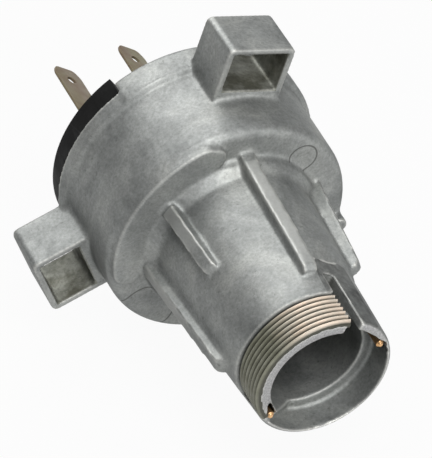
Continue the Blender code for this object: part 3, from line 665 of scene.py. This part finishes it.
# fuller tops for the ribs: angle, half thickness, front end, top's radius there and at the drum
CRESTS = ((79.5, 1.28, 11.0, 14.9, 17.3), (137.0, 1.20, 21.2, 15.1, 16.85), (184.5, 1.45, 9.9, 14.6, 16.6),
          (14.0, 1.20, 17.1, 15.55, 17.55), (252.0, 1.20, 17.1, 15.55, 17.55))
CREST_ROOT, CREST_REAR = 12.2, 37.6
CREST_NOSE = (0.7, 0.9)     # how far the rib's nose slopes back, and how high that slope is
RAMP_R, RAMP_DEPTHS, RAMP_TURN, RAMP_DROP = (9.5, 11.9), (0.05, 5.6), (-152.5, -112.0), 5.2
print("forms to add or cut:", 2 + len(PAD_TURN) + len(CRESTS) + 3 + len(PIN_SLOTS))

# %% Casting
def crest(angle, half, front, top_front, top_rear):
    back, up = CREST_NOSE
    outline = [(front, CREST_ROOT), (front, top_front - up), (front + back, top_front), (CREST_REAR, top_rear),
               (CREST_REAR, CREST_ROOT)]
    return fin_block(angle, half, outline, "crest")


casting = merged_copy("housing", "casting")
join(casting, arc_block(*PAD_R, *PAD_TURN, *PAD_DEPTHS, "pad"))
for angle in PAD_TURN:
    end = polar(sum(PAD_R) / 2, angle) / MM
    join(casting, disc_block(end.x, end.z, (PAD_R[1] - PAD_R[0]) / 2, *PAD_DEPTHS, "pad_end"))
ramp_outline = [(r, y) for r, y in zip((*RAMP_R, *reversed(RAMP_R)), (RAMP_DEPTHS[0],) * 2 + (RAMP_DEPTHS[1],) * 2)]
join(casting, spun(ramp_outline, *RAMP_TURN, "ramp_piece", advance=RAMP_DROP))
cut(casting, flat_block(*RELIEF, "relief"))
for values in CRESTS:
    join(casting, crest(*values))
cut(casting, arc_block(*BARE_RIM, "bare_rim"))
cut(casting, arc_block(THREAD_SEAT_R, THREAD_OUT, THREAD_FROM - THREAD_CLEAR, THREAD_TO, -PAST, THREAD_END,
                       "thread_seat"))
for path in PIN_SLOTS:
    cut(casting, slot_block(path, -PAST, SLOT_DEPTH, "pin_slot"))
print("casting with its forms, triangles:", triangles(casting))

# %% [markdown]
# ## The casting's skin
# A casting has no sharp corner: the die's edges are rounded and every rib runs into the wall in a fillet.
# We could bevel hundreds of edges, but a bevel trips where five surfaces meet. Remeshing the solid into small
# even cells and relaxing them rounds every corner at once. A plain relax would thin the ribs, so hollow corners
# are filled with many small steps and outer edges are worn with only a few.

# %% Neighbours
def vectors(mesh, name):
    """The corners' places or normals, one row each."""
    values = np.empty(len(mesh.vertices) * 3)
    mesh.vertices.foreach_get(name, values)
    return values.reshape(-1, 3)


def edge_ends(mesh):
    """The two corners of each edge, and how many edges meet at each corner."""
    ends = np.empty(len(mesh.edges) * 2, dtype=np.int64)
    mesh.edges.foreach_get("vertices", ends)
    near, far = ends[0::2], ends[1::2]
    count = len(mesh.vertices)
    return near, far, np.bincount(near, minlength=count) + np.bincount(far, minlength=count)


def sum_round(values, near, far):
    """For each corner the sum of a value over the corners next to it."""
    return np.bincount(near, values[far], len(values)) + np.bincount(far, values[near], len(values))


# %% Skin
SKIN_CELL = 0.29 * MM
SKIN_TRIANGLES = 192000
FILL_ROUNDS, FILL_STEP = 12, 0.6
EDGE_SHARE = 0.10           # how fast an outer edge wears, against a hollow corner's fill
FINE_DEPTH = 8.0            # ahead of this depth the casting is machined, and relaxes little
FINE_SECTOR = (-34.0, 72.0, 16.5)    # so does the flat relief, between two angles and up to a depth
FINE_SHARE = 0.10


def relax(obj, rounds):
    """Moves each corner towards its neighbours: fully in a hollow, a little on an outer edge."""
    mesh = obj.data
    places = vectors(mesh, "co")
    near, far, degree = edge_ends(mesh)
    angle = np.degrees(np.arctan2(places[:, 2], places[:, 0]))
    low, high, reach = FINE_SECTOR
    fine = places[:, 1] < FINE_DEPTH * MM
    fine |= (angle > low) & (angle < high) & (places[:, 1] < reach * MM)
    zone = np.where(fine, FINE_SHARE, 1.0)
    for _ in range(rounds):
        facing = vectors(mesh, "normal")
        step = np.empty_like(places)
        for axis in range(3):
            step[:, axis] = sum_round(places[:, axis], near, far) / degree - places[:, axis]
        outward = (step * facing).sum(axis=1)
        share = np.where(outward > 0.0, FILL_STEP, FILL_STEP * EDGE_SHARE) * zone
        places += step * share[:, None]
        mesh.vertices.foreach_set("co", places.ravel())
        mesh.update()


def cast_skin(obj):
    remesh = obj.modifiers.new("cells", "REMESH")
    remesh.mode, remesh.voxel_size, remesh.adaptivity = "VOXEL", SKIN_CELL, 0.0
    bake(obj)
    even = obj.modifiers.new("even", "SMOOTH")
    even.factor, even.iterations = 0.5, 2
    bake(obj)
    relax(obj, FILL_ROUNDS)
    count = triangles(obj)
    if count > SKIN_TRIANGLES:
        thin = obj.modifiers.new("thin", "DECIMATE")
        thin.ratio = SKIN_TRIANGLES / count
        bake(obj)
    print(obj.name, "cells:", count, "kept:", triangles(obj))


cast_skin(casting)

# %% [markdown]
# ## Worn edges
# Handling has rubbed the outer edges of the real casting bright. The shader could look for edges itself, but on
# small even cells it finds white dots instead. So the bend of the skin is measured once, blurred over
# neighbouring corners and kept with the mesh, and the zinc's material reads it.

# %% Wear
WEAR_BLUR = 2
WEAR_BEND = (0.25, 0.75)    # bend per millimetre at which wear starts and is full


def mark_wear(obj):
    """Writes how sharply the skin turns over an outer edge as an attribute from 0 to 1."""
    mesh = obj.data
    places, facing = vectors(mesh, "co"), vectors(mesh, "normal")
    near, far, degree = edge_ends(mesh)
    count = len(places)
    span = places[far] - places[near]
    length = np.linalg.norm(span, axis=1) + 1e-9
    drop_near = -(span * facing[near]).sum(axis=1) / length ** 2
    drop_far = (span * facing[far]).sum(axis=1) / length ** 2
    bend = (np.bincount(near, drop_near, count) + np.bincount(far, drop_far, count)) / degree
    for _ in range(WEAR_BLUR):
        bend = sum_round(bend, near, far) / degree
    low, high = WEAR_BEND
    wear = np.clip((bend * MM - low) / (high - low), 0.0, 1.0)
    layer = mesh.attributes.new(WEAR_NAME, "FLOAT", "POINT")
    layer.data.foreach_set("value", wear.astype(np.float32))
    print("share of the skin that is worn:", round(float((wear > 0.5).mean()), 3))


mark_wear(casting)
smooth(casting, 60.0)
dress(casting, zinc, "housing")

# %% [markdown]
# ## The thread
# The barrel's front carries a fine thread on one side only, cut after casting. Its ridges follow a screw line.
# Separate rings would look alike from here, but they would meet the cut edge of the keyway wrongly. So one
# profile of ridges is swept about the axis while it moves along it, and the front end gets its lead-in.

# %% Thread
PITCH = 0.98
CREST_R, ROOT_R, SLEEVE_R = 12.2, 11.62, 10.95
CREST_FLAT, ROOT_FLAT = 0.16, 0.22
THREAD_START = 0.02
LEAD_IN = 0.40              # how far below the crest the front edge starts


def thread_outline():
    """(radius, depth) corners of the ridges, one pitch longer than the thread at both ends."""
    flank = (PITCH - CREST_FLAT - ROOT_FLAT) / 2
    corners, y = [], -PITCH
    while y < THREAD_END + PITCH:
        corners += [(ROOT_R, y), (ROOT_R, y + ROOT_FLAT), (CREST_R, y + ROOT_FLAT + flank),
                    (CREST_R, y + ROOT_FLAT + flank + CREST_FLAT)]
        y += PITCH
    corners.append((ROOT_R, y))
    return corners + [(SLEEVE_R, y), (SLEEVE_R, -PITCH)]


def trim(obj, y, keep_rear):
    """Cuts the piece square at a depth and closes it."""
    bm = bmesh.new()
    bm.from_mesh(obj.data)
    side = -1.0 if keep_rear else 1.0
    bmesh.ops.bisect_plane(bm, geom=[*bm.verts, *bm.edges, *bm.faces], plane_co=(0, y * MM, 0),
                           plane_no=(0, side, 0), clear_outer=True)
    bmesh.ops.holes_fill(bm, edges=[e for e in bm.edges if e.is_boundary], sides=0)
    bmesh.ops.recalc_face_normals(bm, faces=bm.faces)
    bm.to_mesh(obj.data)
    bm.free()


thread = spun(thread_outline(), THREAD_FROM, THREAD_TO, "thread", 96,
              -PITCH * (THREAD_TO - THREAD_FROM) / 360.0)
trim(thread, THREAD_START, True)
trim(thread, THREAD_END, False)
for vert in thread.data.vertices:
    radius = math.hypot(vert.co.x, vert.co.z)
    limit = (CREST_R - LEAD_IN) * MM + max(vert.co.y, 0.0)
    if radius > limit:
        vert.co.x *= limit / radius
        vert.co.z *= limit / radius
print("ridges:", int(THREAD_END / PITCH))

# %% [markdown]
# ## The thread's finish, with painted light and shade
# The cut zinc has gone yellowish. It is pinkish and pale at the upper right, which is painted highlight on that
# tint, olive elsewhere, which is painted shade, and dark in the roots, which is painted shade too. One colour
# would do from afar, but the change is plain to see. So the distance from the palest point blends the two
# tones, and the distance from the axis darkens the roots.

# %% Thread metal
# painted highlight: the thread is palest at its lit top, and painted shade leaves it olive elsewhere
LIT_PALE_PATCH, LIT_PALE_REACH = (2.0, 14.0), (11.0, 4.5)    # (x, z) where the thread is palest, and how far that goes
# painted shade in the thread's roots
ROOT_SHADE = (0.060, 0.060, 0.045, 1.0)


def make_thread_metal():
    mat, tree, shader = new_material("cut_thread")
    streaks = noise(tree, 420.0, 4.0)
    # the pale tone is the yellowed metal with painted highlight, the olive tone the same metal with painted shade
    pale = ramp(tree, streaks, [(0.35, (0.64, 0.53, 0.43)), (0.65, (0.50, 0.45, 0.38))])
    olive = ramp(tree, streaks, [(0.35, (0.19, 0.19, 0.14)), (0.65, (0.28, 0.28, 0.225))])
    ridge = mix(tree, fade(tree, axis_distance(tree, *LIT_PALE_PATCH), *LIT_PALE_REACH), olive, pale)
    # the roots take the painted shade, the crests the metal's tones
    high = fade(tree, axis_distance(tree), ROOT_R + 0.03, CREST_R - 0.18)
    tree.links.new(mix(tree, high, ROOT_SHADE, ridge), shader.inputs["Base Color"])
    shader.inputs["Metallic"].default_value = 0.3
    shader.inputs["Roughness"].default_value = 0.45
    bump(tree, shader, noise(tree, 1500.0, 4.0), 0.2, 0.0001)
    return mat


dress(thread, make_thread_metal(), "housing")
thread.data.shade_flat()

# %% [markdown]
# ## The terminal plate
# The plate is pressed phenolic, matte and nearly black. Its solid has its shape already and could be shown as it
# is, but a knife-sharp edge catches no light. So it is a merged copy with its edges broken by a small bevel.

# %% Plate
PLATE_EDGE = 0.15 * MM


def make_phenolic():
    mat, tree, shader = new_material("pressed_phenolic")
    colour = ramp(tree, noise(tree, 320.0, 5.0), [(0.3, 0.004), (0.7, 0.009)])
    paint(tree, shader, colour, ramp(tree, noise(tree, 150.0), [(0.3, 0.62), (0.7, 0.80)]), 0.0)
    shader.inputs["Specular IOR Level"].default_value = 0.12
    bump(tree, shader, noise(tree, 1200.0, 5.0), 0.3, 0.0002)
    return mat


plate = merged_copy("terminal_plate", "plate")
soft = plate.modifiers.new("soft_edge", "BEVEL")
soft.width, soft.segments, soft.limit_method, soft.angle_limit = PLATE_EDGE, 2, "ANGLE", math.radians(40)
bake(plate)
smooth(plate, 30.0)
dress(plate, make_phenolic(), "terminal_plate")

# %% [markdown]
# ## The blades
# Each blade is a strip of sheet brass, gone dull and brown, with a rounded point and a hole near the tip. We
# could bevel a box, but the point is cut from flat sheet. So the outline is one flat face in the blade's own
# plane, its corners are rounded, and it is extruded by the sheet's thickness. The foot under it comes from the
# solid. The strip is put into the foot's mesh as it is, because a Boolean of two thin sheets may fail. It is
# wider and thinner than the solid's blade, as it measures in the photograph.

# %% Blade strip
BLADE_TURN = 141.0          # direction of the blade's width, seen from the front
BLADE_HALF, TIP_HALF, POINT, TIP_Y = 3.0, 2.1, 1.85, 77.1
SHEET, CORNER, BURR = 0.45, 0.7, 0.06    # thickness, rounding of the outline's corners, broken edges
HOLE_R, HOLE_BACK, DRILL = 0.85, 3.35, 3.0
BLADE_START = 58.6


def drill_at(x, z, across):
    drill = bmesh.new()
    bmesh.ops.create_cone(drill, cap_ends=True, segments=28, radius1=HOLE_R * MM, radius2=HOLE_R * MM,
                          depth=DRILL * MM)
    turn = across.to_track_quat("Z", "Y").to_matrix()
    bmesh.ops.rotate(drill, cent=(0, 0, 0), matrix=turn, verts=drill.verts)
    bmesh.ops.translate(drill, vec=Vector((x, TIP_Y - HOLE_BACK, z)) * MM, verts=drill.verts)
    return object_from(drill, "drill")


def blade_strip(x, z, name):
    width, across = unit(BLADE_TURN), unit(BLADE_TURN - 90.0)
    shoulder = TIP_Y - POINT
    outline = [(-BLADE_HALF, BLADE_START), (-BLADE_HALF, shoulder), (-TIP_HALF, TIP_Y),
               (TIP_HALF, TIP_Y), (BLADE_HALF, shoulder), (BLADE_HALF, BLADE_START)]
    middle = Vector((x, 0.0, z)) - across * SHEET / 2
    bm = bmesh.new()
    corners = [bm.verts.new((middle + width * w + Vector((0.0, y, 0.0))) * MM) for w, y in outline]
    bm.faces.new(corners)
    bmesh.ops.bevel(bm, geom=corners[1:5], offset=CORNER * MM, segments=4, profile=0.5, affect="VERTICES",
                    material=-1)
    extrude(bm, max(bm.faces, key=lambda f: f.calc_area()), across * SHEET * MM)
    bmesh.ops.bevel(bm, geom=[e for e in bm.edges if e.calc_face_angle(0.0) > math.radians(60)],
                    offset=BURR * MM, segments=2, profile=0.5, affect="EDGES", clamp_overlap=True, material=-1)
    strip = object_from(bm, name)
    cut(strip, drill_at(x, z, across))
    print("strip at", (x, z), "triangles:", triangles(strip))
    return strip


# %% Blades
FOOT_END = 59.6
BLADE_PLACES = ((-13.45, 9.14), (-1.41, 9.52), (-9.84, -6.89), (2.45, -11.53), (11.55, -3.31))


def make_metal(name, light, dark, roughness, scale=300.0, metallic=0.9):
    """A tarnished metal whose colour wanders between two tones."""
    mat, tree, shader = new_material(name)
    colour = ramp(tree, noise(tree, scale, 5.0, 0.6, 0.4), [(0.35, dark), (0.62, light)])
    rough = ramp(tree, noise(tree, scale * 1.7), [(0.3, roughness - 0.08), (0.7, roughness + 0.12)])
    paint(tree, shader, colour, rough, metallic)
    bump(tree, shader, noise(tree, scale * 5, 4.0), 0.12, 0.0001)
    return mat


def put_into(obj, part):
    """Adds a part's mesh to an object as it is."""
    bm = bmesh.new()
    bm.from_mesh(obj.data)
    bm.from_mesh(part.data)
    bm.to_mesh(obj.data)
    bm.free()
    bpy.data.objects.remove(part)


blade_brass = make_metal("dull_brass", (0.225, 0.205, 0.125), (0.175, 0.125, 0.080), 0.45, 170.0, 0.35)
for number, (x, z) in enumerate(BLADE_PLACES, 1):
    node_name = "terminal_%d" % number
    blade = merged_copy(node_name, "blade_%d" % number)
    trim(blade, FOOT_END, False)
    put_into(blade, blade_strip(x, z, "strip"))
    smooth(blade, 30.0)
    dress(blade, blade_brass, node_name)

# %% [markdown]
# ## The pieces that keep their solids
# The two pins in the front rim, the rivets and all that is inside have a shape already. What is inside can't be
# seen, and is a guess from how such switches work. They could be rebuilt too, but little or nothing of them
# shows. So the CAD nodes stay as they are and only get a finish.

# %% Other nodes
contact_brass = make_metal("contact_brass", (0.70, 0.50, 0.22), (0.55, 0.36, 0.14), 0.30)
copper = make_metal("copper_pin", (0.80, 0.50, 0.26), (0.62, 0.34, 0.14), 0.30)
steel = make_metal("spring_steel", (0.45, 0.45, 0.46), (0.32, 0.32, 0.33), 0.32)
moulding = make_metal("brown_moulding", (0.12, 0.065, 0.04), (0.08, 0.04, 0.025), 0.5, 200.0, 0.0)
FINISHES = {"contact_rivet": contact_brass, "contact_plate": contact_brass, "thrust_washer": contact_brass,
            "front_pin": copper, "rotor": moulding, "contact_spring": steel, "return_spring": steel,
            "detent": steel}
for node_name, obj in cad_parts.items():
    for start, finish in FINISHES.items():
        if node_name.startswith(start):
            for material_slot in obj.material_slots:
                material_slot.material = finish
print("nodes kept:", sum(name.startswith(tuple(FINISHES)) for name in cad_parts))
